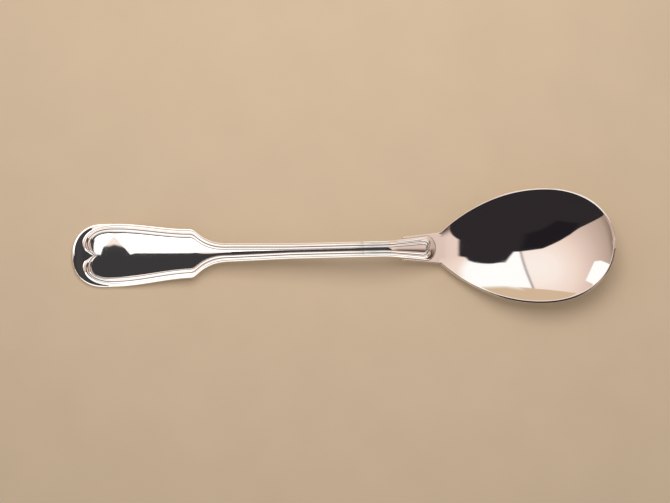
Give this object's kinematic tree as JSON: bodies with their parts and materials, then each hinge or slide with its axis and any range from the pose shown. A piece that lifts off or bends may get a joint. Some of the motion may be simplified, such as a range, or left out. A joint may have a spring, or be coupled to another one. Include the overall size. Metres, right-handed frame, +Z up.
{
  "type": "sugar spoon",
  "caption": "Polished silver sugar spoon: an egg-shaped dished bowl on a bent fiddle handle edged by raised threads, for serving sugar at the table.",
  "frame": {"origin": "middle of the spoon's footprint, on the plane that it rests on", "axes": "+X along the spoon from the handle's tip towards the bowl's tip, +Y across it, +Z up out of the bowl"},
  "size_m": [0.1521, 0.0322, 0.012],
  "materials": {
    "bowl_silver": "mirror-polished silver with fine wear scratches",
    "handle_silver": "mirror-polished silver, a little tarnish in the grooves",
    "silver_solder": "dull grey solder line"
  },
  "bodies": {
    "root": {"bowl": "bowl_silver", "handle": "handle_silver", "solder_seam": "silver_solder"}
  },
  "joints": []
}
